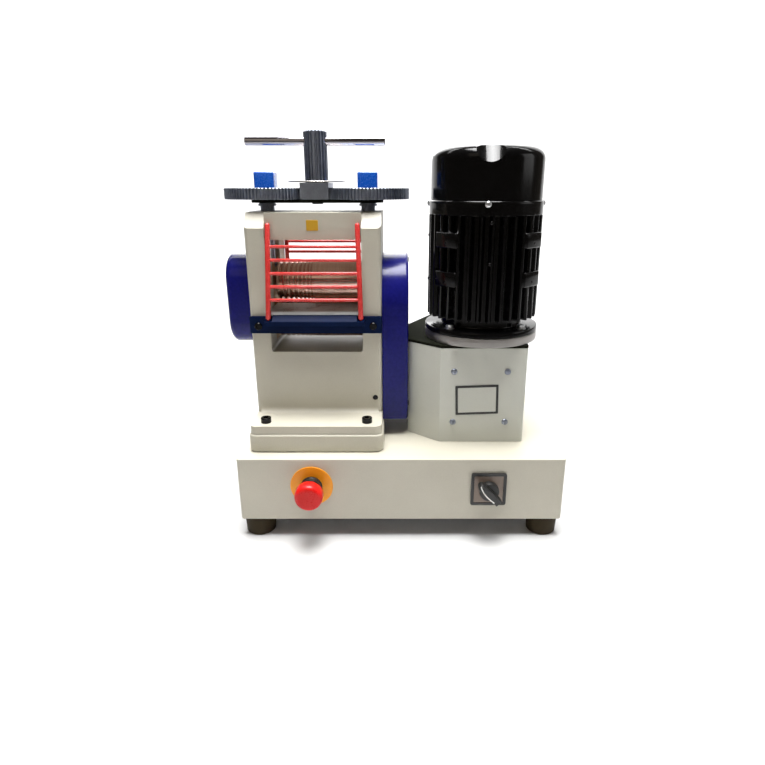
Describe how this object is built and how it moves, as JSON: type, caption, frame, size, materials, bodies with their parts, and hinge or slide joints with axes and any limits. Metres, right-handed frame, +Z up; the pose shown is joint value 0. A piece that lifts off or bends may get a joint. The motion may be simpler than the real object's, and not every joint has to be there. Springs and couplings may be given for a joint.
{
  "type": "jewellers rolling mill",
  "caption": "Bench rolling mill with grooved and flat rolls, a tee handle that sets the gap through gears, and a flanged motor with a worm gearbox on a steel cabinet.",
  "frame": {"origin": "middle of the machine's outline on the bench, at the underside of the feet", "axes": "+Z up, +X to the operator's right, +Y away from the operator, who faces the emergency stop and the selector switch"},
  "size_m": [0.4788, 0.3592, 0.5468],
  "materials": {
    "bearing_bronze": "machined bronze",
    "black_plastic": "smooth moulded",
    "black_rubber": "matt",
    "brushed_steel": "brushed, bare steel",
    "cast_iron_primer": "primed casting",
    "chrome_plated_steel": "mirror plated",
    "coral_red_paint": "semi-gloss coat",
    "dark_gear_steel": "cut steel, lightly oiled, dark",
    "dark_painted_plate": "semi-matt coat",
    "dark_plastic": "smooth moulded",
    "gloss_black_paint": "high gloss coat on castings and fins",
    "laminated_steel": "laminated stack, rough",
    "navy_paint": "semi-gloss coat",
    "polished_steel": "ground and polished, bare steel",
    "red_plastic": "smooth moulded",
    "royal_blue_paint": "glossy coat",
    "satin_aluminium": "turned, satin",
    "ultramarine_paint": "glossy coat",
    "warm_grey_paint": "fine textured coat, satin",
    "yellow_plastic": "smooth moulded",
    "zinc_plated_steel": "bright plated"
  },
  "bodies": {
    "frame": {"adapter_ring": "satin_aluminium", "base_bottom_plate": "zinc_plated_steel", "base_cabinet": "warm_grey_paint", "estop_collar": "black_plastic", "estop_contact_block": "black_plastic", "estop_disc": "yellow_plastic", "fan_cowl": "gloss_black_paint", "front_feed_table": "brushed_steel", "front_guard_bar": "navy_paint", "front_left_foot": "black_rubber", "front_right_foot": "black_rubber", "front_roll_guard": "coral_red_paint", "gearbox_cover": "warm_grey_paint", "gearbox_housing": "cast_iron_primer", "left_gear_cover": "ultramarine_paint", "lower_left_bearing_block": "bearing_bronze", "lower_right_bearing_block": "bearing_bronze", "mains_gland": "black_plastic", "mill_frame": "warm_grey_paint", "mill_plinth": "warm_grey_paint", "motor_end_shield": "gloss_black_paint", "motor_flange": "gloss_black_paint", "motor_housing": "gloss_black_paint", "motor_plate": "dark_painted_plate", "rear_feed_table": "brushed_steel", "rear_guard_bar": "navy_paint", "rear_left_foot": "black_rubber", "rear_right_foot": "black_rubber", "rear_roll_guard": "coral_red_paint", "right_gear_cover": "ultramarine_paint", "stator": "laminated_steel", "switch_body": "black_plastic", "switch_plate": "dark_plastic", "terminal_box": "gloss_black_paint"},
    "adjuster_yoke": {"yoke_plate": "dark_painted_plate", "pinion_bracket": "dark_gear_steel"},
    "handle": {"handle_pinion": "dark_gear_steel", "tee_bar": "chrome_plated_steel", "dial_disc": "satin_aluminium"},
    "left_adjusting_screw": {"left_screw": "polished_steel", "left_screw_gear": "dark_gear_steel", "left_screw_cap": "royal_blue_paint"},
    "right_adjusting_screw": {"right_screw": "polished_steel", "right_screw_gear": "dark_gear_steel", "right_screw_cap": "royal_blue_paint"},
    "upper_blocks": {"upper_left_bearing_block": "bearing_bronze", "upper_right_bearing_block": "bearing_bronze"},
    "upper_roll": {"upper_roll": "polished_steel", "upper_roll_gear": "dark_gear_steel"},
    "lower_roll": {"lower_roll": "polished_steel", "lower_roll_gear": "dark_gear_steel", "drive_gear": "dark_gear_steel"},
    "output_shaft": {"pinion_shaft": "dark_gear_steel", "worm_wheel": "bearing_bronze"},
    "motor_shaft": {"motor_rotor": "polished_steel", "worm": "dark_gear_steel", "cooling_fan": "black_plastic"},
    "estop_plunger": {"estop_stem": "black_plastic"},
    "estop_head": {"estop_button": "red_plastic"},
    "selector_knob": {"switch_knob": "black_plastic"}
  },
  "joints": [
    {"name": "yoke_lift", "type": "slide", "parent": "frame", "child": "adjuster_yoke", "axis": [0, 0, 1], "range_m": [0, 0.005]},
    {"name": "handle_turn", "type": "hinge", "parent": "adjuster_yoke", "child": "handle", "pos_m": [-0.1061, 0.0093, 0.457], "axis": [0, 0, 1], "range_deg": [-2280, 0]},
    {"name": "left_screw_turn", "type": "hinge", "parent": "adjuster_yoke", "child": "left_adjusting_screw", "pos_m": [-0.1781, 0.0093, 0.457], "axis": [0, 0, 1], "range_deg": [0, 600]},
    {"name": "right_screw_turn", "type": "hinge", "parent": "adjuster_yoke", "child": "right_adjusting_screw", "pos_m": [-0.0341, 0.0093, 0.457], "axis": [0, 0, 1], "range_deg": [0, 600]},
    {"name": "upper_block_lift", "type": "slide", "parent": "frame", "child": "upper_blocks", "axis": [0, 0, 1], "range_m": [0, 0.005]},
    {"name": "upper_roll_turn", "type": "hinge", "parent": "upper_blocks", "child": "upper_roll", "pos_m": [-0.1061, 0.0093, 0.343], "axis": [1, 0, 0], "continuous": true},
    {"name": "lower_roll_turn", "type": "hinge", "parent": "frame", "child": "lower_roll", "pos_m": [-0.1061, 0.0093, 0.2865], "axis": [1, 0, 0], "continuous": true},
    {"name": "output_shaft_turn", "type": "hinge", "parent": "frame", "child": "output_shaft", "pos_m": [0.1299, 0.0323, 0.1974], "axis": [1, 0, 0], "continuous": true},
    {"name": "motor_turn", "type": "hinge", "parent": "frame", "child": "motor_shaft", "pos_m": [0.1299, -0.0177, 0.1974], "axis": [0, 0, 1], "continuous": true},
    {"name": "estop_press", "type": "slide", "parent": "frame", "child": "estop_plunger", "axis": [0, 1, 0], "range_m": [0, 0.004], "stiffness_N_per_m": 400},
    {"name": "estop_twist", "type": "hinge", "parent": "estop_plunger", "child": "estop_head", "pos_m": [-0.1111, 0.0093, 0.081], "axis": [0, 1, 0], "range_deg": [0, 30], "stiffness_Nm_per_rad": 0.05},
    {"name": "selector_turn", "type": "hinge", "parent": "frame", "child": "selector_knob", "pos_m": [0.1339, 0.0093, 0.0765], "axis": [0, 1, 0], "range_deg": [0, 90]}
  ],
  "couplings": [
    {"joint": "yoke_lift", "follows": "handle_turn", "m_per_rad": -0.00012565},
    {"joint": "upper_block_lift", "follows": "handle_turn", "m_per_rad": -0.00012565},
    {"joint": "left_screw_turn", "follows": "handle_turn", "ratio": -0.26316},
    {"joint": "right_screw_turn", "follows": "handle_turn", "ratio": -0.26316},
    {"joint": "output_shaft_turn", "follows": "motor_turn", "ratio": 0.033333},
    {"joint": "lower_roll_turn", "follows": "motor_turn", "ratio": -0.017778},
    {"joint": "upper_roll_turn", "follows": "motor_turn", "ratio": 0.017778}
  ]
}
